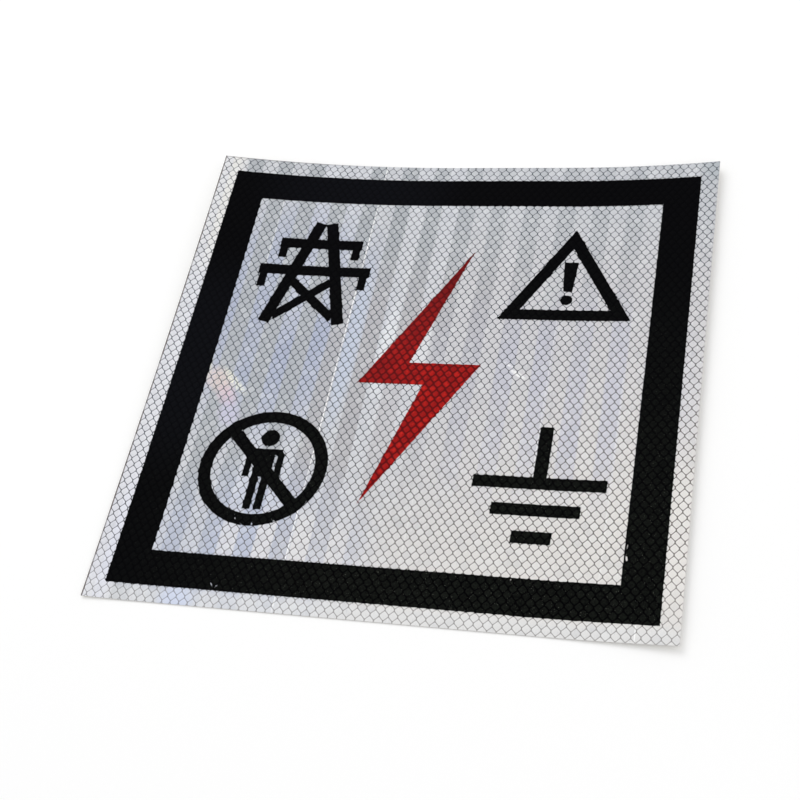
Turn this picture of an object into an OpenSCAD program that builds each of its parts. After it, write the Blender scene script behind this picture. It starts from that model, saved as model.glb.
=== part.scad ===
// High voltage warning sign: a square of prismatic reflective film that lies face up.
// A black frame and a red lightning bolt are printed on its face. The film keeps a
// memory of the roll it was cut from, so its left and right sides curl up from a
// middle that lies flat. +X runs to the sign's right, +Y to its top and +Z out of its
// face. The origin is on the underside, at the middle of the sign. Millimetres.

/* [Film] */
// Width of the film, measured flat
film_w = 300; // [260:5:600]
// Height of the film, measured flat
film_h = 300; // [260:5:600]
// Thickness of the film with its adhesive back
film_t = 0.5; // [0.3:0.05:1.2]

/* [Print] */
// Bare film between the film's edge and the black band
margin = 10; // [4:1:20]
// Width of the black band
band_w = 20; // [8:1:30]
// Thickness of the printed layer
print_t = 0.1; // [0.05:0.01:0.3]
// How far the printing sits to the right of the film's middle
print_right = 0.4; // [-2:0.1:2]
// How far the printing sits below the film's middle
print_down = 0.7; // [-2:0.1:2]

/* [Lightning bolt] */
// Height of the bolt, from its lower tip to its upper tip
bolt_h = 169.5; // [120:0.5:180]
// How far the upper tip lies to the right of the lower tip
bolt_lean = 34.5; // [16:0.5:48]
// Width of the bolt, from its left corner to its right corner
bolt_w = 66; // [50:0.5:80]
// Height of the step between the left corner and the right corner
step_h = 14.5; // [6:0.5:24]
// How far the middle of the step lies below the bolt's middle
step_drop = 2; // [-10:0.5:10]
// Length of the step's lower edge, which starts at the left corner
lower_edge_w = 36.5; // [24:0.5:42]
// Length of the step's upper edge, which starts at the right corner
upper_edge_w = 39.5; // [24:0.5:42]

/* [Curl] */
// Flat film left of the middle, before the left side curls up
left_flat = 52; // [44:1:80]
// Radius of the left curl, at the underside
left_radius = 830; // [500:10:1600]
// Turn of the left curl towards the sign's top, in degrees
left_turn = 20; // [0:1:24]
// Flat film right of the middle, before the right side curls up
right_flat = 71; // [50:1:100]
// Radius of the right curl, at the underside
right_radius = 750; // [500:10:1600]
// Turn of the right curl towards the sign's top, in degrees
right_turn = 3; // [0:1:12]

/* [Hidden] */

// A curl is its direction in degrees, the flat length before it, and its radius
curls = [
    [180 - left_turn, left_flat, left_radius],
    [right_turn, right_flat, right_radius],
];
// Sides of the full circle that a curl is part of
curl_sides = 720;
// Flat film that each curled side shares with the middle, so that they are one sheet
lap = 6;
// Longest straight step of an outline that follows a curl
outline_step = 12;
// A length well past the film's corners
far_away = film_w + film_h;

// Where a point of the flat film lies in plan, once one side has curled up
function rolled(p, curl) =
    let (way = [cos(curl[0]), sin(curl[0])], run = p * way - curl[1])
    run <= 0 ? p : p + way * (curl[2] * sin(run / curl[2] * 180 / PI) - run);

// Where it lies once both sides have curled up
function in_plan(p) = rolled(rolled(p, curls[0]), curls[1]);

// The outline's points with more between them, so that its edges can follow a curl
function divided(outline) = [
    for (i = [0 : len(outline) - 1])
        let (a = outline[i], b = outline[(i + 1) % len(outline)])
        let (steps = ceil(norm(b - a) / outline_step))
        for (k = [0 : steps - 1]) a + (b - a) * k / steps
];

// Corners of a rectangle that lies an inset inside a sheet of the film's size
function inset_corners(inset) =
    let (x = film_w / 2 - inset, y = film_h / 2 - inset)
    [[-x, -y], [x, -y], [x, y], [-x, y]];

// An outline of the printing, moved to where the press laid it on the film
function printed(outline) = [for (p = outline) p + [print_right, -print_down]];

// Flat shape of an outline, as it lies in plan on the curled film
module plan_of(outline) polygon([for (p = divided(outline)) in_plan(p)]);

// Half plane past a line that lies across a curl's direction
module past_line(direction, distance)
    rotate(direction)
        translate([distance, -far_away])
            square([far_away, 2 * far_away]);

// Section across a curl, between two heights above the film's underside: the end of
// the flat film, and then the arc that rises from it
module curl_section(curl, base, thickness) {
    translate([curl[1] - lap, base])
        square([lap, thickness]);
    translate([curl[1], curl[2]])
        intersection() {
            difference() {
                circle(r = curl[2] - base, $fn = curl_sides);
                circle(r = curl[2] - base - thickness, $fn = curl_sides);
            }
            translate([0, -curl[2]])
                square(curl[2]);
        }
}

// A layer on the curled film, with the plan shape given as its child
module layer(base, thickness) {
    translate([0, 0, base])
        linear_extrude(thickness)
            difference() {
                children();
                for (curl = curls) past_line(curl[0], curl[1]);
            }
    for (curl = curls)
        intersection() {
            linear_extrude(far_away)
                intersection() {
                    children();
                    past_line(curl[0], curl[1] - lap);
                }
            rotate(curl[0])
                rotate([90, 0, 0])
                    linear_extrude(2 * far_away, center = true)
                        curl_section(curl, base, thickness);
        }
}

// The film itself
module reflective_film()
    color([0.80, 0.81, 0.84])
        layer(0, film_t)
            plan_of(inset_corners(0));

// The black square band
module black_frame()
    color([0.02, 0.02, 0.025])
        layer(film_t, print_t)
            difference() {
                plan_of(printed(inset_corners(margin)));
                plan_of(printed(inset_corners(margin + band_w)));
            }

// The bolt's outline: two tapered arms that point opposite ways and meet at a level step
function bolt_outline() =
    let (left = -bolt_w / 2, right = bolt_w / 2)
    let (lower = -step_drop - step_h / 2, upper = -step_drop + step_h / 2)
    [
        [bolt_lean / 2, bolt_h / 2],
        [left, lower],
        [left + lower_edge_w, lower],
        [-bolt_lean / 2, -bolt_h / 2],
        [right, upper],
        [right - upper_edge_w, upper],
    ];

// The lightning bolt, which lies wholly on the flat middle of the film
module red_bolt()
    color([0.68, 0.06, 0.06])
        translate([0, 0, film_t])
            linear_extrude(print_t)
                polygon(printed(bolt_outline()));

reflective_film();
black_frame();
red_bolt();
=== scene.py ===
"""Dresses the high voltage warning sign: a square of prismatic reflective film, printed
in black and red, whose left and right sides curl up from a middle that lies flat.

Sizes on the film are in millimetres, measured on the flat sheet before it curls:
u runs to the sign's right, v to its top and h up from the film's underside. place()
takes them to where they lie on the curled film, in metres.
"""

import math

import bpy
import numpy as np
from mathutils import Euler, Matrix, Vector


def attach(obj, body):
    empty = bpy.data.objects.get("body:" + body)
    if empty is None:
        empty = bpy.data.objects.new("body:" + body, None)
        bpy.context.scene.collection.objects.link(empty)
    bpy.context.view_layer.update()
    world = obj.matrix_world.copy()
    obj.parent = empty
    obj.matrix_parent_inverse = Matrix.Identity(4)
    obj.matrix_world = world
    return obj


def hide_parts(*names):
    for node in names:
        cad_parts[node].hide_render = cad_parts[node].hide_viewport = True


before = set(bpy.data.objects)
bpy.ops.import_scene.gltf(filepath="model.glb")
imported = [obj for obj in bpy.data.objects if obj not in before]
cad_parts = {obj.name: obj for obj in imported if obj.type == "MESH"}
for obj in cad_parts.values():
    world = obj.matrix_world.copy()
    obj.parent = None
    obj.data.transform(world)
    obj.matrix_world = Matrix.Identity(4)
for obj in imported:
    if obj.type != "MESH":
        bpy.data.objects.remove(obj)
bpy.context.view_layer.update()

bl_info = {
    "name": "High voltage warning sign",
    "version": (1, 0, 0),
    "blender": (4, 5, 0),
    "location": "3D View > Sidebar > Sign",
    "description": "Builds a curled reflective film warning sign with its printing",
    "category": "Add Mesh",
}

MM = 0.001
BODY = "root"


# Sizes and colours

def srgb(red, green, blue):
    """A colour as it reads on a screen, 0 to 255, as the linear values that shaders use."""
    return tuple(
        x / 12.92 if x <= 0.04045 else ((x + 0.055) / 1.055) ** 2.4
        for x in (red / 255, green / 255, blue / 255)
    )


def offset(name, default, description, **limits):
    return bpy.props.FloatProperty(
        name=name, default=default, description=description,
        unit="LENGTH", subtype="DISTANCE", precision=5, **limits,
    )


def length(name, default, description):
    return offset(name, default, description, min=0.0)


def turn(name, degrees, description):
    return bpy.props.FloatProperty(
        name=name, default=math.radians(degrees), description=description, subtype="ANGLE",
    )


def colour(name, default, description):
    return bpy.props.FloatVectorProperty(
        name=name, default=default, description=description,
        min=0.0, max=1.0, size=3, subtype="COLOR",
    )


class SignFilm(bpy.types.PropertyGroup):
    """Sizes of the film and of its curl"""

    width: length("Width", 0.300, "Width of the film, measured flat")
    height: length("Height", 0.300, "Height of the film, measured flat")
    thickness: length("Thickness", 0.0005, "Thickness of the film with its adhesive back")
    left_flat: length("Left flat", 0.052, "Flat film left of the middle, before the curl")
    left_radius: length("Left radius", 0.830, "Radius of the left curl, at the underside")
    left_turn: turn("Left turn", 20, "Turn of the left curl towards the sign's top")
    right_flat: length("Right flat", 0.071, "Flat film right of the middle, before the curl")
    right_radius: length("Right radius", 0.750, "Radius of the right curl, at the underside")
    right_turn: turn("Right turn", 3, "Turn of the right curl towards the sign's top")


class SignCells(bpy.types.PropertyGroup):
    """Sizes of the diamond cells that are pressed into the film"""

    width: length("Width", 0.004622, "Width of a diamond cell")
    height: length("Height", 0.006706, "Height of a diamond cell")
    first_u: offset("First cell, across", 0.00060, "Where the first cell's middle lies, across")
    first_v: offset("First cell, up", 0.00134, "Where the first cell's middle lies, up")
    row_fall: bpy.props.FloatProperty(
        name="Row fall", default=0.0077,
        description="How far a row of cells falls for each unit of width",
    )
    side: length("Side", 0.0011, "Length of the upright wall between two cells in a row")
    depth: length("Depth", 0.00006, "How deep the walls between the cells are pressed")
    wall: length("Wall", 0.00035, "Width of the dark wall between two cells")
    band: length("Band", 0.0196, "Width of a pair of light and dark bands")
    band_start: offset("Band start", -0.1055, "Where a light band starts, across")


class SignPrint(bpy.types.PropertyGroup):
    """Sizes of the printed layers"""

    thickness: length("Thickness", 0.0001, "Thickness of the printed layer")
    right: offset("To the right", 0.0004, "How far the printing sits to the right")
    down: offset("Down", 0.0007, "How far the printing sits below the middle")
    margin: length("Margin", 0.010, "Bare film between the edge and the black band")
    band: length("Band", 0.020, "Width of the black band")
    bolt_height: length("Bolt height", 0.1695, "Height of the lightning bolt")
    bolt_lean: length("Bolt lean", 0.0345, "How far the upper tip lies right of the lower tip")
    bolt_width: length("Bolt width", 0.066, "Width between the bolt's side corners")
    step_height: length("Step height", 0.0145, "Height between the bolt's side corners")
    step_drop: offset("Step drop", 0.002, "How far the step lies below the bolt's middle")
    lower_edge: length("Lower edge", 0.0365, "Length of the step's lower edge")
    upper_edge: length("Upper edge", 0.0395, "Length of the step's upper edge")
    stroke: length("Stroke", 0.0070, "Width of the strokes of the four marks")
    ragged: length("Ragged edge", 0.00034, "How far the ink's edge strays at a cell")


class SignColours(bpy.types.PropertyGroup):
    """Colours of the film and of its printing"""

    # Silver and the near side's silver paint light across the film: dimmer at the far side,
    # lighter and warmer at the near side
    silver: colour("Silver", srgb(202, 204, 209), "Film at the far side")
    near_lit_silver: colour("Warm silver", srgb(226, 223, 220), "Film at the near side")
    shade: colour("Shaded silver", srgb(174, 178, 183), "Film in the dark bands")
    # A painted sheen of reflected light over the left side
    blue: colour("Blue sheen", srgb(162, 171, 197), "Blue sheen over the left side")
    wall: colour("Cell wall", srgb(40, 50, 62), "Walls between the cells")
    black: colour("Black ink", srgb(6, 6, 8), "The black printing")
    red: colour("Red ink", srgb(170, 24, 22), "The red printing, over a bright cell")
    deep_red: colour("Deep red ink", srgb(88, 9, 13), "The red printing, over a wall")
    liner: colour("Liner", srgb(214, 209, 196), "The paper liner on the film's back")
    floor: colour("Floor", (0.92, 0.92, 0.92), "The floor that the sign lies on")


# The curled film

def curls_of(film):
    """Each curl as its direction, the flat length before it and its radius, in mm."""
    sides = [
        (math.pi - film.left_turn, film.left_flat, film.left_radius),
        (film.right_turn, film.right_flat, film.right_radius),
    ]
    return [
        (np.array([math.cos(angle), math.sin(angle)]), start / MM, radius / MM)
        for angle, start, radius in sides
    ]


def place(flat, film):
    """Where points (u, v, h) of the flat sheet lie on the curled film, in metres."""
    flat = np.asarray(flat, float)
    out = flat.copy()
    for way, start, radius in curls_of(film):
        run = flat[:, :2] @ way - start
        on = run > 0
        angle = run[on] / radius
        inner = radius - flat[on, 2]
        out[on, :2] += way * (inner * np.sin(angle) - run[on])[:, None]
        out[on, 2] = radius - inner * np.cos(angle)
    return out * MM


# Flat shapes

# The smallest part of a shape that is kept, in square millimetres
SLIVER = 1e-6


def area(polygon):
    """The area of a polygon, positive where its corners run counter-clockwise."""
    return 0.5 * sum(
        polygon[i - 1][0] * p[1] - p[0] * polygon[i - 1][1] for i, p in enumerate(polygon)
    )


def box_of(polygon):
    """The lowest u and v of a polygon, and the highest."""
    us, vs = [p[0] for p in polygon], [p[1] for p in polygon]
    return min(us), min(vs), max(us), max(vs)


def overlap(one, other):
    """Whether two boxes overlap."""
    across = one[0] < other[2] and other[0] < one[2]
    return across and one[1] < other[3] and other[1] < one[3]


def half_planes(polygon):
    """The half planes that a convex polygon, given counter-clockwise, lies in."""
    planes = []
    for i, b in enumerate(polygon):
        a = polygon[i - 1]
        normal = (b[1] - a[1], a[0] - b[0])
        planes.append((normal, normal[0] * a[0] + normal[1] * a[1]))
    return planes


def clipped(polygon, normal, limit):
    """The part of a polygon where normal . (u, v) is at most limit."""
    side = [normal[0] * p[0] + normal[1] * p[1] - limit for p in polygon]
    if max(side) <= 0:
        return polygon
    kept = []
    for i, p in enumerate(polygon):
        q, a, b = polygon[i - 1], side[i - 1], side[i]
        if (a < 0 < b) or (b < 0 < a):
            t = a / (a - b)
            kept.append(tuple(x + (y - x) * t for x, y in zip(q, p)))
        if b <= 0:
            kept.append(p)
    return kept


def inside(polygon, planes):
    """The part of a polygon that lies in all of some half planes, or nothing."""
    for normal, limit in planes:
        polygon = clipped(polygon, normal, limit)
        if len(polygon) < 3:
            return []
    return polygon


def without(polygon, hole):
    """A convex polygon less a convex hole, as convex polygons."""
    planes = half_planes(hole)
    if area(inside(polygon, planes)) < SLIVER:
        return [polygon]
    parts = []
    for normal, limit in planes:
        part = clipped(polygon, (-normal[0], -normal[1]), -limit)
        if len(part) > 2 and area(part) > SLIVER:
            parts.append(part)
        polygon = clipped(polygon, normal, limit)
    return parts


def apart(shapes, holes=()):
    """Convex shapes that may overlap, as convex ones that don't, less the holes."""
    done = []
    for shape in shapes:
        if area(shape) < 0:
            shape = shape[::-1]
        parts = [shape]
        for other in list(done) + list(holes):
            parts = [p for part in parts for p in without(part, other)]
        done += parts
    return done


def rectangle(x, y):
    """A rectangle about the origin, that reaches x across and y up."""
    return [(-x, -y), (x, -y), (x, y), (-x, y)]


def band(outer, inner):
    """The band between two outlines with as many corners, one length for each side."""
    return [[outer[i - 1], outer[i], inner[i], inner[i - 1]] for i in range(len(outer))]


def bar(a, b, width):
    """A straight stroke with square ends."""
    (ax, ay), (bx, by) = a, b
    reach = math.hypot(bx - ax, by - ay)
    sx, sy = (ay - by) / reach * width / 2, (bx - ax) / reach * width / 2
    return [(ax - sx, ay - sy), (bx - sx, by - sy), (bx + sx, by + sy), (ax + sx, ay + sy)]


def bar_pair(a, b, width):
    """A straight stroke, mirrored on the left and then as it is on the right."""
    return [bar((side * a[0], a[1]), (side * b[0], b[1]), width) for side in (-1, 1)]


def on_circle(radius, angle):
    """The spot at an angle on a circle about the origin."""
    return radius * math.cos(angle), radius * math.sin(angle)


def ring(radius, width, sides=48):
    """A round stroke about the origin, as short straight lengths."""
    turns = [2 * math.pi * i / sides for i in range(sides + 1)]
    inner = radius - width
    return [
        [on_circle(inner, a), on_circle(radius, a), on_circle(radius, b), on_circle(inner, b)]
        for a, b in zip(turns, turns[1:])
    ]


def disc(middle, radius, sides=20):
    """A round spot."""
    spots = [on_circle(radius, 2 * math.pi * i / sides) for i in range(sides)]
    return [(middle[0] + x, middle[1] + y) for x, y in spots]


def moved(shapes, by):
    return [[(p[0] + by[0], p[1] + by[1]) for p in shape] for shape in shapes]


# The printing

def half_size(film):
    """How far the flat film reaches from its middle, across and up, in mm."""
    return film.width / MM / 2, film.height / MM / 2


def frame_shapes(film, ink):
    """The square band, as four lengths mitred at its corners."""
    x, y = (film.width / 2 - ink.margin) / MM, (film.height / 2 - ink.margin) / MM
    w = ink.band / MM
    return band(rectangle(x, y), rectangle(x - w, y - w))


def bolt_shapes(ink):
    """The two tapered arms of the bolt and its step, as triangles."""
    half_w, half_h = ink.bolt_width / MM / 2, ink.bolt_height / MM / 2
    lean, drop, step = ink.bolt_lean / MM / 2, ink.step_drop / MM, ink.step_height / MM / 2
    low, high = -drop - step, -drop + step
    top, bottom = (lean, half_h), (-lean, -half_h)
    left, right = (-half_w, low), (half_w, high)
    inner_low = (-half_w + ink.lower_edge / MM, low)
    inner_high = (half_w - ink.upper_edge / MM, high)
    return [
        [top, left, inner_high], [left, inner_low, inner_high],
        [bottom, right, inner_low], [right, inner_high, inner_low],
    ]


# The four marks are drawn in mm about their own middles, with main strokes w wide

def pylon_shapes(w):
    """An overhead line tower: two cross arms, two legs, crossed braces and insulators."""
    return [
        bar((-33.5, 1), (33.5, 1), w),
        bar((-25, 21), (25, 21), w),
        *bar_pair((22, -37), (3.2, 37), w),
        *bar_pair((15, -4), (-18, -33), w * 0.8),
        *bar_pair((30, 0), (30, -12), w * 0.7),
        *bar_pair((22, 20), (22, 10), w * 0.7),
    ]


def triangle_shapes(w):
    """An upright warning triangle with an upright stroke and a dot inside."""
    outer = [(-36.5, -31.5), (36.5, -31.5), (0, 33.5)]
    # The circle that fits inside the outline has this radius, and about this middle
    radius = area(outer) * 2 / sum(math.dist(outer[i - 1], outer[i]) for i in range(3))
    middle = (0, -9.8)
    inner = [tuple(m + (p - m) * (1 - w / radius) for p, m in zip(c, middle)) for c in outer]
    return band(outer, inner) + [
        [(-2.5, -11.5), (2.5, -11.5), (4.0, 9.5), (-4.0, 9.5)],
        disc((0, -17.3), 3.4),
    ]


def no_entry_shapes(w):
    """A ring with a slanted stroke across it, over a plain standing figure."""
    return ring(35.5, w) + [
        bar((-22, 22), (22, -22), w),
        disc((0, 18.5), 5.2),
        [(-10.5, 8.0), (10.5, 8.0), (8.5, 11.6), (-8.5, 11.6)],
        *bar_pair((8.6, 9.0), (8.6, -6.0), 3.8),
        [(-5.2, -6.0), (5.2, -6.0), (5.2, 9.0), (-5.2, 9.0)],
        *bar_pair((3.0, -5.0), (3.0, -25.5), 4.4),
    ]


def earth_shapes(w):
    """The usual earthing figure: a lead down to three bars that shorten."""
    return [
        bar((0, 35), (0, 0), w),
        bar((-34, 1), (34, 1), w),
        bar((-22.5, -14.5), (22.5, -14.5), w),
        bar((-10, -30), (10, -30), w),
    ]


# The four marks, with where their middles lie on the printing
MARKS = {
    "pylon": (pylon_shapes, (-75.4, 66.7)),
    "triangle": (triangle_shapes, (73.3, 68.4)),
    "no_entry": (no_entry_shapes, (-73.1, -66.5)),
    "earth": (earth_shapes, (74.1, -67.6)),
}

# Spots where the ink has chipped off, as (u, v, length, width, turn in degrees)
FRAME_CHIPS = [
    (-82.3, -136.6, 2.6, 0.8, 118), (-79.2, -138.0, 1.6, 0.5, 35),
    (121.9, -106.4, 4.6, 0.9, 97), (121.7, -99.6, 1.6, 0.4, 84),
    (68.2, -121.6, 1.2, 0.4, 60), (-84.6, -140.9, 1.2, 0.6, 8),
]
MARK_CHIPS = [
    (-98.6, -99.6, 4.0, 0.9, 58), (-97.0, -94.8, 2.2, 0.6, 100), (-70.0, -101.2, 2.6, 0.8, 80),
    (-75.2, -102.4, 1.8, 0.5, 140), (-46.3, -92.2, 3.4, 0.8, 52), (-44.0, -86.8, 2.0, 0.6, 70),
    (-58.5, -98.8, 1.0, 0.5, 20), (-79.8, -98.9, 1.4, 0.5, 95),
]


def chips(spots):
    """Small lozenge holes in the ink."""
    shapes = []
    for u, v, reach, width, degrees in spots:
        c, s = on_circle(1, math.radians(degrees))
        corners = [(reach / 2, 0), (reach * 0.1, width / 2), (-reach / 2, width * 0.2),
                   (-reach * 0.2, -width / 2)]
        shapes.append([(u + x * c - y * s, v + x * s + y * c) for x, y in corners])
    return shapes


def printed_shapes(film, ink):
    """The convex shapes of each printed piece, where the press laid them on the film."""
    right, up = ink.right / MM, -ink.down / MM
    shapes = {
        "black_frame": apart(moved(frame_shapes(film, ink), (right, up)), chips(FRAME_CHIPS)),
        "red_bolt": apart(moved(bolt_shapes(ink), (right, up))),
    }
    for name, (drawing, (u, v)) in MARKS.items():
        drawn = moved(drawing(ink.stroke / MM), (u + right, v + up))
        shapes[name] = apart(drawn, chips(MARK_CHIPS))
    return shapes


# The cells

# Which corners of a cell are its tips, counted round from the lower right one
TIPS = (2, 5)
# The share of a cell that ink has to hide before the cell is left plain
HIDDEN_SHARE = 0.999


def cell_size(cells):
    """A cell's width and height, and the length of its upright walls, in mm."""
    return cells.width / MM, cells.height / MM, cells.side / MM


def lattice(cells):
    """The steps from one cell to the next along both walls, and the first cell, in mm."""
    w, h = (x / 2 for x in cell_size(cells)[:2])
    fall = w * cells.row_fall
    return (w, h - fall), (w, -h - fall), (cells.first_u / MM, cells.first_v / MM)


def cell_corners(cells):
    """The six corners of a cell about its middle, where three walls meet, from the lower
    right one round to the bottom tip."""
    w, h, side = (x / 2 for x in cell_size(cells))
    upright = [(w, -side), (w, side), (0, h - side), (-w, side), (-w, -side), (0, side - h)]
    return [(x, y - x * cells.row_fall) for x, y in upright]


def cell_loop(corners, size, cut, height):
    """Eight spots round a cell at a height, with its corners drawn in to a share of its
    size, and a share of the way to the next corner cut off both tips."""
    spots = []
    for i, corner in enumerate(corners):
        beside = (corners[i - 1], corners[(i + 1) % len(corners)])
        for other in beside if i in TIPS else (corner,):
            spot = tuple((a + (b - a) * cut) * size for a, b in zip(corner, other))
            spots.append((*spot, height))
    return spots


def cell_faces(corners, top, depth):
    """The faces of one pressed cell about its middle. Its walls are sunk, its shoulders
    rise with rounded tips, and its face has a faint crown."""
    wall = [(*corner, top - depth) for corner in corners]
    foot = cell_loop(corners, size=0.95, cut=0.06, height=top - depth * 0.9)
    brow = cell_loop(corners, size=0.88, cut=0.10, height=top - depth * 0.12)
    crown = (0.0, 0.0, top)
    # Which corners of the wall lie beside each stretch between two spots of the foot
    beside = [(0, 1), (1, 2), (2,), (2, 3), (3, 4), (4, 5), (5,), (5, 0)]
    faces = []
    for i, outer in enumerate(beside):
        j = (i + 1) % len(beside)
        faces.append([wall[k] for k in outer] + [foot[j], foot[i]])
        faces.append([foot[i], foot[j], brow[j], brow[i]])
        faces.append([brow[i], brow[j], crown])
    return faces


def cells_over(cells, box):
    """The middles of the cells that reach into a box, in mm."""
    rise, fall, first = lattice(cells)
    corners = [(x, y) for x in (box[0], box[2]) for y in (box[1], box[3])]
    counts = np.linalg.solve(np.array([rise, fall]).T, (np.array(corners) - first).T)
    a0, b0 = np.floor(counts.min(1)).astype(int) - 1
    a1, b1 = np.ceil(counts.max(1)).astype(int) + 1
    w, h = cell_size(cells)[:2]
    middles = []
    for a in range(a0, a1 + 1):
        for b in range(b0, b1 + 1):
            u, v = first[0] + a * rise[0] + b * fall[0], first[1] + a * rise[1] + b * fall[1]
            if box[0] - w < u < box[2] + w and box[1] - h < v < box[3] + h:
                middles.append((u, v))
    return middles


def hidden(outline, covers):
    """Whether the covers, each a box with its half planes, hide the whole of a cell."""
    box = box_of(outline)
    shared = sum(area(inside(outline, planes)) for cover, planes in covers
                 if overlap(box, cover))
    return shared > area(outline) * HIDDEN_SHARE


def pressed(surface, shapes, cells, top, covers=()):
    """Adds the pressed cells that lie in the shapes, cut off at their edges. A cell that
    lies wholly under the covers isn't pressed out in detail."""
    corners, depth = cell_corners(cells), cells.depth / MM
    detailed = cell_faces(corners, top, depth)
    plain = [[(*corner, top - depth) for corner in corners]]
    covers = [(box_of(cover), half_planes(cover)) for cover in covers]
    for shape in shapes:
        planes = half_planes(shape)
        for u, v in cells_over(cells, box_of(shape)):
            outline = [(u + x, v + y) for x, y in corners]
            whole = all(
                normal[0] * x + normal[1] * y <= limit
                for normal, limit in planes for x, y in outline
            )
            if not whole and not inside(outline, planes):
                continue
            for polygon in plain if hidden(outline, covers) else detailed:
                polygon = [(u + x, v + y, h) for x, y, h in polygon]
                surface.face(polygon if whole else inside(polygon, planes))


# Meshes

# A face's finish, by its place in the list of its piece's finishes
FACE, BACK, EDGE = 0, 1, 2
# Corners are one where they agree to this many parts of a millimetre, across and up
PARTS_ACROSS, PARTS_UP = 2000, 20000
# Edges of a mesh that turn more than this stay sharp
SHARP = math.radians(35)
# How far an edge of ink strays outwards, as shares of the ragged edge: least and most,
# on a cell's face, and down on the wall between two cells
STRAY_ON_FACE, STRAY_ON_WALL = (-0.7, 0.3), (0.7, 1.6)
# What counts as down on the wall: this near to its floor, in mm
NEAR_FLOOR = 0.01
# The squares that the back of the film is made of, along each side
BACK_SQUARES = 40


def added(name, data):
    """A new object in the scene."""
    made = bpy.data.objects.new(name, data)
    bpy.context.scene.collection.objects.link(made)
    return made


class Surface:
    """Gathers faces on the flat sheet and makes them into one piece on the curled film."""

    def __init__(self):
        self.spots, self.faces, self.kinds, self.found = [], [], [], {}

    def spot(self, p):
        """The number of a corner, which is added where it's new."""
        key = (round(p[0] * PARTS_ACROSS), round(p[1] * PARTS_ACROSS), round(p[2] * PARTS_UP))
        if key not in self.found:
            self.found[key] = len(self.spots)
            self.spots.append(tuple(p))
        return self.found[key]

    def face(self, polygon, kind=FACE):
        """Adds a face, unless too few of its corners differ."""
        loop = []
        for p in polygon:
            i = self.spot(p)
            if not loop or i != loop[-1]:
                loop.append(i)
        if loop and loop[0] == loop[-1]:
            loop.pop()
        if len(loop) > 2 and len(set(loop)) == len(loop):
            self.faces.append(loop)
            self.kinds.append(kind)

    def rim(self):
        """The open edges, each in the order of its face."""
        edges = {}
        for loop in self.faces:
            for i, b in enumerate(loop):
                a = loop[i - 1]
                if (b, a) in edges:
                    del edges[(b, a)]
                else:
                    edges[(a, b)] = True
        return list(edges)

    def skirt(self, low, kind=FACE):
        """Adds walls from the rim down to a height."""
        for a, b in self.rim():
            pa, pb = self.spots[a], self.spots[b]
            self.face([pa, (pa[0], pa[1], low), (pb[0], pb[1], low), pb], kind)

    def piece(self, name, film, finishes):
        """The piece that the faces make on the curled film."""
        mesh = bpy.data.meshes.new(name)
        mesh.from_pydata(place(self.spots, film).tolist(), [], self.faces)
        mesh.polygons.foreach_set("material_index", self.kinds)
        flat = mesh.attributes.new("flat", "FLOAT_VECTOR", "POINT")
        flat.data.foreach_set("vector", np.asarray(self.spots, np.float32).ravel())
        mesh.shade_smooth()
        mesh.set_sharp_from_angle(angle=SHARP)
        for finish in finishes:
            mesh.materials.append(finish)
        mesh.update()
        return added(name, mesh)


def ragged(surface, ink, seed, low):
    """Lets the ink's edge stray a little from cell to cell. Where the edge crosses a wall
    between cells, whose floor is at the height low, the ink ran out as a small tooth."""
    ways = {}
    for a, b in surface.rim():
        du, dv = (surface.spots[b][k] - surface.spots[a][k] for k in (0, 1))
        reach = math.hypot(du, dv)
        for i in (a, b):
            ways.setdefault(i, np.zeros(2))
            ways[i] += (dv / reach, -du / reach)
    draw = np.random.default_rng(seed)
    for i, way in sorted(ways.items()):
        u, v, h = surface.spots[i]
        out = draw.uniform(*(STRAY_ON_WALL if h < low + NEAR_FLOOR else STRAY_ON_FACE))
        du, dv = way / max(1.0, np.hypot(*way)) * out * ink.ragged / MM
        surface.spots[i] = (u + du, v + dv, h)


def smooth_back(surface, film):
    """Adds the film's underside, as a grid of squares."""
    x, y = half_size(film)
    us = np.linspace(-x, x, BACK_SQUARES + 1)
    vs = np.linspace(-y, y, BACK_SQUARES + 1)
    for u0, u1 in zip(us, us[1:]):
        for v0, v1 in zip(vs, vs[1:]):
            surface.face([(u0, v0, 0), (u0, v1, 0), (u1, v1, 0), (u1, v0, 0)], BACK)


# Shader maths

class Value:
    """What a socket of a finish gives, with the sums that are used here."""

    def __init__(self, finish, socket):
        self.finish, self.socket = finish, socket

    def math(self, operation, *others):
        return self.finish.node(
            "ShaderNodeMath", {"operation": operation}, dict(enumerate((self, *others)))
        )

    def __add__(self, other):
        return self.math("ADD", other)

    __radd__ = __add__

    def __mul__(self, other):
        return self.math("MULTIPLY", other)

    __rmul__ = __mul__

    def __sub__(self, other):
        return self.math("SUBTRACT", other)

    def __rsub__(self, other):
        return self.finish.node("ShaderNodeMath", {"operation": "SUBTRACT"}, {0: other, 1: self})

    def __truediv__(self, other):
        return self.math("DIVIDE", other)

    def __pow__(self, other):
        return self.math("POWER", other)

    def size(self):
        return self.math("ABSOLUTE")

    def most(self, other):
        return self.math("MAXIMUM", other)

    def smooth(self, low, high):
        """0 below low, 1 above high and a smooth rise between, or a fall if low > high."""
        if low > high:
            return 1 - self.smooth(high, low)
        return self.finish.node(
            "ShaderNodeMapRange", {"interpolation_type": "SMOOTHSTEP"},
            {"Value": self, "From Min": low, "From Max": high}, "Result",
        )


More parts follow.
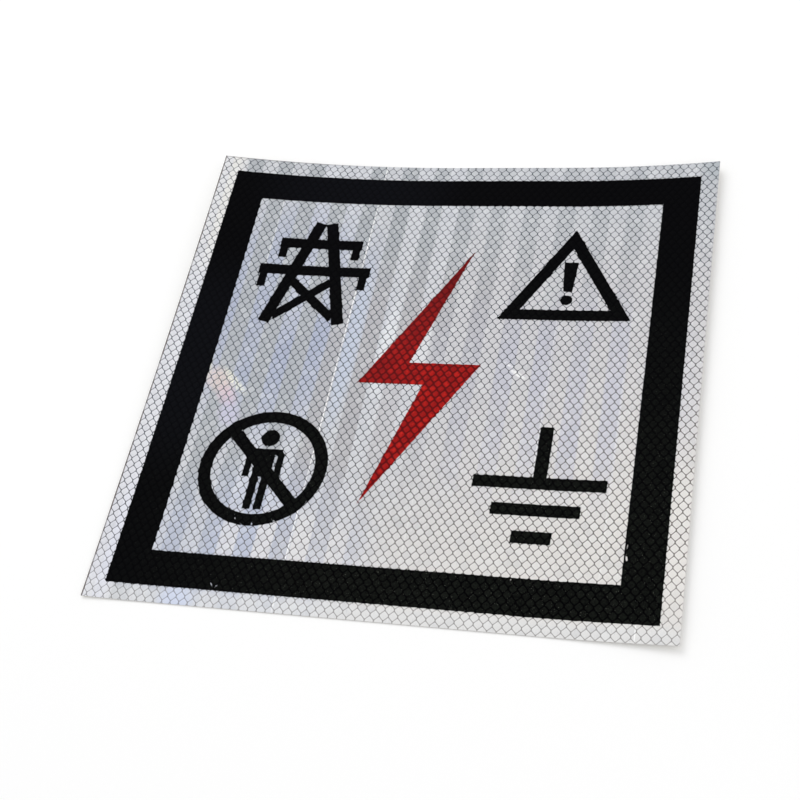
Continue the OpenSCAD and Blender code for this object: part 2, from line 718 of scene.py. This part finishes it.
class Finish:
    """The nodes of a material or of the world, with the shader that they feed."""

    def __init__(self, owner, shader="ShaderNodeBsdfPrincipled",
                 out="ShaderNodeOutputMaterial", **plain):
        self.owner = owner
        owner.use_nodes = True
        self.tree = owner.node_tree
        self.tree.nodes.clear()
        self.shader = self.add(shader)
        self.add(out, None, {"Surface": Value(self, self.shader.outputs[0])})
        self.feed(**plain)

    def put(self, socket, value):
        if isinstance(value, Value):
            self.tree.links.new(value.socket, socket)
        elif socket.type == "RGBA" and len(value) == 3:
            socket.default_value = (*value, 1.0)
        else:
            socket.default_value = value

    def feed(self, **values):
        """Sets sockets of the shader: base_color is its Base Color."""
        for key, value in values.items():
            socket = key.replace("_", " ").title().replace("Ior", "IOR")
            self.put(self.shader.inputs[socket], value)

    def add(self, kind, settings=None, sockets=None):
        """A new node, with its settings and then the values or links of its sockets."""
        made = self.tree.nodes.new(kind)
        for key, value in (settings or {}).items():
            setattr(made, key, value)
        for key, value in (sockets or {}).items():
            self.put(made.inputs[key], value)
        return made

    def node(self, kind, settings=None, sockets=None, output=0):
        """One output of a new node."""
        return Value(self, self.add(kind, settings, sockets).outputs[output])

    def mix(self, one, other, factor):
        """One colour turned into another by a factor from 0 to 1."""
        # The sockets go by number, since the Mix node's other kinds share their names
        sockets = {0: factor, 6: one, 7: other}
        return self.node("ShaderNodeMix", {"data_type": "RGBA"}, sockets, 2)

    def coats(self, tone, *coats):
        """A tone under coats of other colours, each given with how much it covers."""
        for shown, cover in coats:
            tone = self.mix(tone, shown, cover)
        return tone

    def bump(self, height, strength, distance):
        """Fine relief, with its distance in metres."""
        sockets = {"Height": height, "Strength": strength, "Distance": distance}
        return self.node("ShaderNodeBump", None, sockets, "Normal")

    def eye(self):
        """1 for what the camera sees, also in a gloss or through something clear."""
        seen = [
            self.node("ShaderNodeLightPath", output=kind)
            for kind in ("Is Camera Ray", "Is Glossy Ray", "Is Transmission Ray")
        ]
        return seen[0].most(seen[1]).most(seen[2])

    def flat(self):
        """The place on the flat sheet, across and up, in millimetres."""
        spot = self.node("ShaderNodeAttribute", {"attribute_name": "flat"}, output="Vector")
        parts = self.add("ShaderNodeSeparateXYZ", None, {0: spot})
        return Value(self, parts.outputs[0]), Value(self, parts.outputs[1])

    def spot(self, x, y, z=0.0):
        return self.node("ShaderNodeCombineXYZ", None, {0: x, 1: y, 2: z})

    def chance(self, vector):
        """A number drawn at random for each value of a vector."""
        return self.node("ShaderNodeTexWhiteNoise", {"noise_dimensions": "3D"},
                         {"Vector": vector}, "Value")

    def noise(self, u, v, layer=0.0, detail=2.0, roughness=0.5):
        """Cloudy noise, about one cloud to each unit of u and v. Each layer is a different
        draw of it."""
        sockets = {"Vector": self.spot(u, v, layer), "Scale": 1.0, "Detail": detail,
                   "Roughness": roughness}
        return self.node("ShaderNodeTexNoise", None, sockets, "Fac")

    def glow(self, u, v, middle, reach, degrees=0):
        """A soft long spot: 1 at its middle and 0 past its reach, along and across."""
        c, s = on_circle(1, math.radians(degrees))
        du, dv = u - middle[0], v - middle[1]
        along = (du * c + dv * s) / reach[0]
        across = (dv * c - du * s) / reach[1]
        return (along * along + across * across).smooth(1.0, 0.0)

    def gauge(self, u, v, cells, square=11):
        """How far out in its cell a point lies, from 0 at the middle to 1 at the wall, and a
        vector that is the same all over a cell. The less square, the rounder its corners."""
        w, h, side = cell_size(cells)
        x = u - cells.first_u / MM
        y = v - cells.first_v / MM + x * cells.row_fall
        reach = (h - side) * w / 4  # makes rise + run come to 1 on a slanted wall
        found = []
        # The rows of cells, and then the rows between them, half a cell across and up
        for shift in (0.0, 0.5):
            across, up = x / w - shift, y / h - shift
            a, b = across.math("ROUND"), up.math("ROUND")
            dx, dy = (across - a).size() * w, (up - b).size() * h
            rise, run = dx * ((h / 2 - side) / reach), dy * (w / 2 / reach)
            out = (dx * (2 / w)) ** square + (rise + run) ** square
            out = (out + (rise - run).size() ** square) ** (1 / square)
            found.append((out, self.spot(a + shift, b + shift)))
        (out_a, id_a), (out_b, id_b) = found
        nearer = out_a.math("LESS_THAN", out_b)
        return out_a.math("MINIMUM", out_b), self.mix(id_b, id_a, nearer)


def wall_mask(out, cells, before, after):
    """1 on the walls between cells. It rises from a share before the middle of a wall's
    slope to a share after it."""
    w, h, side = cell_size(cells)
    across = (h - side) * w / 4 / math.hypot(h / 2 - side, w / 2)
    slope = 1 - cells.wall / MM / 2 / across
    return out.smooth(slope - before, slope + after)


# Finishes. The ends of a smooth() on u or v are places on the flat sheet in mm

# Seams where the pressing tool was joined: where each lies across, how far down and up
# it runs, and how bright it is
SEAMS = [
    (-105.5, 66, 160, 0.5), (-47.0, -160, 160, 1.0), (-18.4, -40, 110, 0.25),
    (-27.1, 62, 128, 0.4), (-7.5, 66, 132, 0.3), (51.0, 88, 118, 0.25),
    (12.0, -160, -70, 0.3), (31.0, 70, 125, 0.3), (70.5, -62, 44, 0.5),
    (110.0, -122, 0, 0.35), (129.4, -160, -138, 1.0),
]

# Painted glints where light crosses the left side and right of the bolt, then painted patches of
# light, pale and blue, a painted shade at the far right corner, and a burr at the far edge: the
# middle, the reach along and across, the turn in degrees, the colour, and how much of it is even
# and how much comes and goes
GLINTS = [
    ((-112, -13), (15, 9.0), -38, (231, 212, 206), 0.35, 0.45),
    ((-105, -23), (10, 6.5), -50, (224, 196, 210), 0.3, 0.45),
    ((-103, -13), (15, 3.2), -46, (246, 246, 228), 0, 0.9),
    ((-122, -2), (14, 4.0), -80, (236, 236, 214), 0.1, 0.7),
    ((-101, -34), (11, 8.0), -60, (208, 202, 228), 0.3, 0.3),
    ((54, -0.5), (7, 1.6), -32, (255, 255, 255), 0.5, 0.5),
    ((49, 5), (5, 1.3), -36, (250, 250, 252), 0, 0.7),
    ((65, 62), (8, 26), 0, (210, 211, 213), 0.6, 0),
    ((-21.5, 12), (5.5, 40), 0, (240, 242, 246), 0.6, 0),
    ((-2, 12), (9, 24), 0, (236, 236, 238), 0.45, 0),
    ((-12, -34), (9, 44), 0, (218, 216, 220), 0.35, 0),
    ((-42, 16), (6, 74), 0, (200, 210, 229), 0.55, 0),
    ((150, 152), (14, 22), 0, (168, 176, 182), 0.7, 0),
    ((-71, 146), (9, 11), 0, (216, 218, 224), 0.7, 0),
    ((-99, -147), (12, 11), 0, (208, 217, 240), 0.8, 0),
    ((150, -100), (16, 50), 0, (238, 234, 230), 0.5, 0),
    ((76.8, 149.9), (1.1, 0.8), 0, (40, 36, 34), 1.0, 0),
]


def pressed_band_reflections(f, u, v, cells):
    """The light and dark bands of the pressing tool's pattern, with their brightness painted as
    the light they reflect: how light a point's band is, how dark it is, and how bright that
    light band came out. The painted reflection fades out towards the near right."""
    pairs = (u - cells.band_start / MM) / (cells.band / MM)
    drawn = f.chance(f.spot((pairs * 2).math("FLOOR"), 3.0))
    # A light band takes about the first half of a pair's width, with soft sides
    across = pairs.math("FRACT")
    light = across.smooth(0.0, 0.045) * across.smooth(0.54, 0.49)
    # The bands' painted reflection fades over a slanted line that wavers
    waver = (f.noise(u * 0.012, v * 0.010, detail=1.0) - 0.5) * 40
    fade = (u - v * 0.85 - 45 - waver) / (v * 0.3 + 60).most(54)
    strength = fade.smooth(1.0, -1.0) * (1 - v.smooth(30, 100) * u.smooth(-60, 50) * 0.42)
    dark = (1 - light) * strength * (0.86 + drawn * 0.28)
    return light, dark, light * strength * drawn.smooth(0.45, 1.0)


def banded_silver(f, u, v, dark, bright, colours):
    """The film's tone with the painted reflection of its bands, neutral right of the bolt, and
    painted lighter and warmer towards the near right."""
    neutral, painted_band_highlight = srgb(207, 205, 208), srgb(218, 220, 228)
    middle_shade = srgb(184, 183, 187)
    shade = f.mix(colours.shade, middle_shade, v.smooth(95, 40) * u.smooth(-75, -45))
    return f.coats(
        colours.silver,
        (neutral, u.smooth(-60, 40) * v.smooth(125, 60) * 0.8),
        # Painted light: the film turns lighter and warmer towards the near right
        (colours.near_lit_silver, (u * 0.7 - v).smooth(15, 190)),
        # Painted highlight on the light bands, and painted shade in the dark ones
        (painted_band_highlight, bright * 0.5),
        (shade, dark),
    )


def cloudy_sheen(f, u, v, tone, light, colours):
    """A painted, cloudy sheen of reflected light: blue over the left side, lilac right of the
    bolt and white low on the left."""
    pale_blue_sheen, lilac, white_sheen = srgb(190, 198, 222), srgb(196, 197, 213), srgb(236, 233, 232)
    cloud = f.noise(u * 0.022, v * 0.013, layer=4.0).smooth(0.28, 0.62)
    upper = f.glow(u, v, (-86, 34), (70, 104))
    lower = f.glow(u, v, (-72, -118), (80, 66))
    beside = f.glow(u, v, (74, -12), (96, 84))
    lowest = f.glow(u, v, (-52, -112), (50, 26))
    return f.coats(
        tone,
        (colours.blue, upper * (0.10 + light * 0.75) * (0.55 + cloud * 0.45)),
        (pale_blue_sheen, lower * (0.8 - light * 0.3) * (0.35 + cloud * 0.6)),
        (lilac, beside * (1 - light) * (0.25 + cloud * 0.45)),
        (white_sheen, lowest * light * 0.55),
    )


def bright_rims(f, u, v, tone, dark, film):
    """The left edge catches the light, most at its corners, and the near edge a little."""
    x, y = half_size(film)
    left_edge, near_edge = srgb(230, 230, 236), srgb(230, 231, 232)
    corner = f.mix(srgb(226, 228, 240), srgb(232, 230, 226), v.smooth(20, 80))
    rim = u.smooth(18 - x, 9 - x)
    return f.coats(
        tone,
        (left_edge, rim * 0.82),
        (corner, rim * (v + 8).size().smooth(50, 105) * (0.8 - dark * 0.5)),
        (near_edge, v.smooth(12 - y, 5 - y) * (0.6 - rim * 0.3)),
    )


def cell_tones(f, u, tone, cell, streak, film):
    """Each cell's own tone, its brightest cells painted glints, and fine streaks inside the
    cells, the bright ones painted glints that are paler at the right edge.
    """
    glinting_cell, dull_cell = srgb(238, 240, 242), srgb(164, 168, 178)
    glint_streak, dull_streak = srgb(252, 252, 252), srgb(150, 154, 164)
    x = half_size(film)[0]
    own = f.chance(cell)
    glint_share = u.smooth(x - 22, x - 8) * 0.4 + 0.42
    return f.coats(
        tone,
        # Painted glints on some cells and in the bright streaks
        (glinting_cell, own.smooth(0.72, 1.0) * 0.18),
        (dull_cell, own.smooth(0.30, 0.0) * 0.16),
        (glint_streak, streak.smooth(0.58, 0.74) * glint_share),
        (dull_streak, streak.smooth(0.42, 0.26) * 0.30),
    )


def tool_seams(f, u, v, tone, broken):
    """Thin bright lines where the pressing tool was joined."""
    side, core, end = 0.42, 0.14, 5
    for at, low, high, amount in SEAMS:
        line = (u - at).size().smooth(side, core)
        span = v.smooth(low - end, low + end) * v.smooth(high + end, high - end)
        tone = f.mix(tone, srgb(254, 254, 254), line * span * (0.5 + broken * 0.5) * amount)
    return tone


def glints(f, u, v, tone):
    """Painted glints, painted patches of light and a patch of painted shade on the film, and a
    burr at its far edge.
    """
    sparkle = f.noise(u * 0.9, v * 0.9, layer=6.0).smooth(0.38, 0.60)
    for middle, reach, degrees, shown, even, broken in GLINTS:
        amount = sparkle * broken + even if broken else even
        tone = f.mix(tone, srgb(*shown), f.glow(u, v, middle, reach, degrees) * amount)
    return tone


def dark_walls(f, u, v, tone, wall, light, colours):
    """Walls between the cells, browner to the near right, and fainter at the near edge
    and in the light bands at the far one."""
    brown = f.mix(colours.wall, srgb(80, 73, 69), (u * 0.5 - v).smooth(-30, 130))
    clear = 1 - v.smooth(-95, -145) * 0.34 - v.smooth(70, 110) * light * 0.16
    return f.mix(tone, brown, wall * clear)


def dark_edge_lines(f, u, v, tone, broken, film):
    """A dark line at the left edge, painted shadow where the curled edge lifts, and one along a
    part of the far edge.
    """
    x, y = half_size(film)
    # Painted shadow along the left edge
    left = u.smooth(1.0 - x, 0.3 - x) * (0.5 + broken * 0.5)
    far = v.smooth(y - 0.9, y - 0.2) * u.smooth(-40, -100) * 0.5
    return f.mix(tone, srgb(76, 62, 58), left.most(far))


def film_face(scene):
    """Silver film with diamond cells. The tool that pressed it left bands with bright seams,
    whose light and dark are painted reflection, and a painted blue sheen lies over the left
    side."""
    film, cells, colours = scene.sign_film, scene.sign_cells, scene.sign_colours
    f = Finish(bpy.data.materials.new("film_face"), coat_weight=0.06, coat_roughness=0.15,
               specular_ior_level=0.2)
    u, v = f.flat()
    out, cell = f.gauge(u, v, cells)
    wall = wall_mask(out, cells, 0.04, 0.04)
    broken = f.noise(u * 0.02, v * 0.05, layer=9.0).smooth(0.35, 0.55)
    streak = f.noise(u * 2.4, v * 0.30, layer=7.0, detail=3.0)
    grain = f.noise(u * 1.4, v * 1.4, layer=2.0, detail=3.0)

    light, dark, bright = pressed_band_reflections(f, u, v, cells)
    tone = banded_silver(f, u, v, dark, bright, colours)
    tone = cloudy_sheen(f, u, v, tone, light, colours)
    tone = bright_rims(f, u, v, tone, dark, film)
    tone = cell_tones(f, u, tone, cell, streak, film)
    tone = tool_seams(f, u, v, tone, broken)
    tone = glints(f, u, v, tone)
    tone = dark_walls(f, u, v, tone, wall, light, colours)
    tone = dark_edge_lines(f, u, v, tone, broken, film)
    f.feed(base_color=tone, roughness=0.32 + wall * 0.25 + streak * 0.08,
           normal=f.bump(grain, 0.12, 0.00003))
    return f.owner


def film_back(scene):
    """Smooth paper liner with faint fibres and cloudy patches."""
    f = Finish(bpy.data.materials.new("film_back"))
    fibre_tone, cloud_tone = srgb(196, 190, 174), srgb(224, 220, 210)
    u, v = f.flat()
    fibre = f.noise(u * 0.9, v * 0.35, detail=5.0, roughness=0.65)
    cloud = f.noise(u * 0.03, v * 0.03, detail=3.0)
    tone = f.coats(
        scene.sign_colours.liner,
        (fibre_tone, fibre.smooth(0.45, 0.75) * 0.5),
        (cloud_tone, cloud.smooth(0.4, 0.7) * 0.5),
    )
    f.feed(base_color=tone, roughness=0.48 + fibre * 0.16,
           normal=f.bump(fibre, 0.25, 0.00005))
    return f.owner


def film_edge():
    """The cut edge of the film: clear face, pale core and adhesive."""
    f = Finish(bpy.data.materials.new("film_edge"), roughness=0.5)
    core, adhesive = srgb(206, 205, 202), srgb(150, 146, 140)
    u, v = f.flat()
    nick = f.noise(u * 1.1, v * 1.1, detail=3.0)
    f.feed(base_color=f.mix(core, adhesive, nick.smooth(0.45, 0.75)))
    return f.owner


def black_ink(scene):
    """Black ink. At the near right, where stronger light is painted, the cells show through it,
    a little paler than their walls, with a few bright pinholes. A faint painted sheen lies on
    its left and far sides."""
    cells, colours = scene.sign_cells, scene.sign_colours
    f = Finish(bpy.data.materials.new("black_ink"), specular_ior_level=0.008)
    thick, thin, sheen_tone = srgb(7, 8, 8), srgb(28, 31, 27), srgb(14, 15, 20)
    wall_tone, pinhole = srgb(1, 1, 2), srgb(128, 130, 120)
    u, v = f.flat()
    out, cell = f.gauge(u, v, cells)
    wall = wall_mask(out, cells, 0.16, 0.05)
    # The near right, where the light is painted stronger and the cells show paler
    near = v.smooth(120, -150) * u.smooth(-180, 20)
    grain = f.noise(u * 0.9, v * 0.9, layer=5.0, detail=3.0, roughness=0.6)
    speck = f.noise(u * 1.9, v * 1.9, layer=8.0)
    show = grain.smooth(0.30, 0.66) * 0.65 + f.chance(cell) * 0.35
    sheen = f.glow(u, v, (-132, 0), (40, 85)).most(f.glow(u, v, (-62, 132), (72, 44)))

    tone = f.coats(
        colours.black,
        (sheen_tone, sheen * 0.8),
        (f.mix(thick, thin, show), near * (1 - wall) * 0.85),
        (wall_tone, wall * (0.5 + near * 0.5)),
        (pinhole, speck.smooth(0.69, 0.75) * near),
    )
    f.feed(base_color=tone, roughness=0.36 + grain * 0.22,
           normal=f.bump(grain, 0.2, 0.00003))
    return f.owner


def red_ink(scene):
    """Clear red ink. Each cell shows through it in its own tone, some with a painted highlight
    at the middle, and painted shade deepens it towards the bolt's upper tip, at the far side."""
    cells, colours = scene.sign_cells, scene.sign_colours
    f = Finish(bpy.data.materials.new("red_ink"), specular_ior_level=0.03)
    dull_cell, cell_highlight = srgb(138, 16, 18), srgb(204, 38, 32)
    thin, thick = srgb(212, 40, 30), srgb(112, 12, 16)
    left_arm, upper_tip_shade = srgb(124, 17, 21), srgb(104, 16, 19)
    u, v = f.flat()
    out, cell = f.gauge(u, v, cells, square=6)
    wall = wall_mask(out, cells, 0.30, 0.02)
    own = f.chance(cell)
    grain = f.noise(u * 0.75, v * 0.55, layer=3.0, detail=3.0, roughness=0.6)

    tone = f.coats(
        colours.red,
        (dull_cell, own.smooth(0.55, 0.0) * 0.7),
        # A painted highlight at the middle of some cells
        (cell_highlight, out.smooth(0.7, 0.1) * own.smooth(0.5, 0.95) * 0.6),
        (thin, grain.smooth(0.50, 0.72) * (0.35 + own * 0.45)),
        (thick, grain.smooth(0.48, 0.30) * 0.6),
        (left_arm, u.smooth(4, -30) * 0.45),
        # Painted shade towards the upper tip, at the far side
        (upper_tip_shade, (v + u * 0.3).smooth(-5, 68) * 0.86),
        (colours.deep_red, wall * 0.92),
    )
    f.feed(base_color=tone, roughness=0.30 + grain * 0.18)
    return f.owner


# Pieces

def add_print(scene, name, finish):
    """One printed piece: pressed cells with ragged edges, and walls down into the film."""
    film, cells, ink = scene.sign_film, scene.sign_cells, scene.sign_print
    prints = printed_shapes(film, ink)
    top = (film.thickness + ink.thickness) / MM
    surface = Surface()
    pressed(surface, prints[name], cells, top)
    ragged(surface, ink, list(prints).index(name), top - cells.depth / MM)
    surface.skirt((film.thickness - cells.depth) / MM)
    piece = surface.piece(name + "_print", film, [finish])
    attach(piece, BODY)
    return piece


def shared_black_ink(scene):
    """The black ink, which the frame and the marks share."""
    return bpy.data.materials.get("black_ink") or black_ink(scene)


class SIGN_OT_film(bpy.types.Operator):
    """Builds the curled film with its pressed cells"""

    bl_idname = "sign.film"
    bl_label = "Film"

    def execute(self, context):
        scene = context.scene
        film, cells, ink = scene.sign_film, scene.sign_cells, scene.sign_print
        covers = [s for shapes in printed_shapes(film, ink).values() for s in shapes]
        surface = Surface()
        pressed(surface, [rectangle(*half_size(film))], cells, film.thickness / MM, covers)
        surface.skirt(0.0, EDGE)
        smooth_back(surface, film)
        piece = surface.piece("film", film, [film_face(scene), film_back(scene), film_edge()])
        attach(piece, BODY)
        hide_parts("reflective_film")
        return {"FINISHED"}


class SIGN_OT_frame(bpy.types.Operator):
    """Prints the black frame on the film"""

    bl_idname = "sign.frame"
    bl_label = "Frame"

    def execute(self, context):
        ink = shared_black_ink(context.scene)
        piece = add_print(context.scene, "black_frame", ink)
        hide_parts("black_frame")
        return {"FINISHED"}


class SIGN_OT_bolt(bpy.types.Operator):
    """Prints the red lightning bolt on the film"""

    bl_idname = "sign.bolt"
    bl_label = "Lightning bolt"

    def execute(self, context):
        ink = red_ink(context.scene)
        piece = add_print(context.scene, "red_bolt", ink)
        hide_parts("red_bolt")
        return {"FINISHED"}


class SIGN_OT_marks(bpy.types.Operator):
    """Prints the four black marks on the film"""

    bl_idname = "sign.marks"
    bl_label = "Marks"

    def execute(self, context):
        ink = shared_black_ink(context.scene)
        for name in MARKS:
            add_print(context.scene, name, ink)
        return {"FINISHED"}


# Stage, in metres and watts

# How far the floor reaches from its middle, and how far it lies below the sign, so that
# the two don't share a plane
FLOOR_REACH, FLOOR_DROP = 6.0, 0.0002
# How far from the sign the floor's glow starts to whiten and is all white
FLOOR_FADE = (0.7, 2.6)
# How strongly the floor glows, and how strongly the world lights the sign
FLOOR_GLOW, WORLD_LIGHT = 0.45, 0.62
# Each square lamp: its name, place, width and power. It is aimed at the sign
LAMPS = [
    ("key", (-0.9, 1.1, 1.7), 1.6, 17.0),
    ("fill", (1.2, -0.9, 1.5), 1.8, 9.0),
]
# The camera's place, its turn about X, Y and Z in degrees, and its lens and sensor in mm.
# They put the corners of the sheet and of the frame where they lie in the photograph
CAMERA_AT, CAMERA_TURN = (0.19054, -0.42292, 0.58579), (35.952, 11.266, 11.017)
CAMERA_LENS, CAMERA_SENSOR = 62.28, 36.0


def floor_finish(scene):
    """Plain pale paper that turns to a white background away from the sign."""
    f = Finish(bpy.data.materials.new("floor"), roughness=0.9, specular_ior_level=0.1,
               base_color=scene.sign_colours.floor)
    grey, white = (0.27, 0.27, 0.27), (1.0, 1.0, 1.0)
    spot = f.node("ShaderNodeTexCoord", output="Object")
    far = f.node("ShaderNodeVectorMath", {"operation": "LENGTH"}, {0: spot}, "Value")
    f.feed(emission_color=f.mix(grey, white, far.smooth(*FLOOR_FADE)),
           emission_strength=f.eye() * FLOOR_GLOW)
    return f.owner


def lay_floor(scene):
    mesh = bpy.data.meshes.new("floor")
    corners = rectangle(FLOOR_REACH, FLOOR_REACH)
    mesh.from_pydata([(x, y, 0) for x, y in corners], [], [(0, 1, 2, 3)])
    mesh.materials.append(floor_finish(scene))
    floor = added("floor", mesh)
    floor.location.z = -FLOOR_DROP


def light_studio(scene):
    """White to the eye all round, a dimmer light from it on the sign, and two lamps."""
    scene.world = bpy.data.worlds.new("studio")
    world = Finish(scene.world, "ShaderNodeBackground", "ShaderNodeOutputWorld",
                   color=(1.0, 1.0, 1.0))
    world.feed(strength=world.eye().most(WORLD_LIGHT))
    for name, at, width, power in LAMPS:
        lamp = bpy.data.lights.new(name, "AREA")
        lamp.shape, lamp.size, lamp.energy = "SQUARE", width, power
        lit = added(name, lamp)
        lit.location = at
        lit.rotation_mode = "QUATERNION"
        lit.rotation_quaternion = Vector(at).to_track_quat("Z", "Y")


def aim_camera(scene):
    eye = bpy.data.cameras.new("camera")
    eye.sensor_width, eye.lens = CAMERA_SENSOR, CAMERA_LENS
    turned = Euler([math.radians(degrees) for degrees in CAMERA_TURN])
    scene.camera = added("camera", eye)
    scene.camera.matrix_world = Matrix.LocRotScale(Vector(CAMERA_AT), turned, None)


class SIGN_OT_stage(bpy.types.Operator):
    """Sets up the pale floor, the soft lights and the camera"""

    bl_idname = "sign.stage"
    bl_label = "Stage"

    def execute(self, context):
        lay_floor(context.scene)
        light_studio(context.scene)
        aim_camera(context.scene)
        context.scene.view_settings.view_transform = "Standard"
        return {"FINISHED"}


# The add-on

GROUPS = {
    "sign_film": SignFilm,
    "sign_cells": SignCells,
    "sign_print": SignPrint,
    "sign_colours": SignColours,
}
OPERATORS = (SIGN_OT_stage, SIGN_OT_film, SIGN_OT_frame, SIGN_OT_bolt, SIGN_OT_marks)


class SIGN_PT_sidebar(bpy.types.Panel):
    """Lists the pieces of the sign with their sizes and colours"""

    bl_idname = "SIGN_PT_sidebar"
    bl_label = "High voltage warning sign"
    bl_space_type = "VIEW_3D"
    bl_region_type = "UI"
    bl_category = "Sign"

    def draw(self, context):
        for name in GROUPS:
            group = getattr(context.scene, name)
            box = self.layout.box()
            for key in group.bl_rna.properties.keys():
                if key not in ("rna_type", "name"):
                    box.prop(group, key)
        for operator in OPERATORS:
            self.layout.operator(operator.bl_idname)


CLASSES = (*GROUPS.values(), *OPERATORS, SIGN_PT_sidebar)


def register():
    for kind in CLASSES:
        bpy.utils.register_class(kind)
    for name, kind in GROUPS.items():
        setattr(bpy.types.Scene, name, bpy.props.PointerProperty(type=kind))


def unregister():
    for name in GROUPS:
        delattr(bpy.types.Scene, name)
    for kind in reversed(CLASSES):
        bpy.utils.unregister_class(kind)


def main():
    register()
    bpy.ops.sign.stage()
    bpy.ops.sign.film()
    bpy.ops.sign.frame()
    bpy.ops.sign.bolt()
    bpy.ops.sign.marks()


if __name__ == "__main__":
    main()
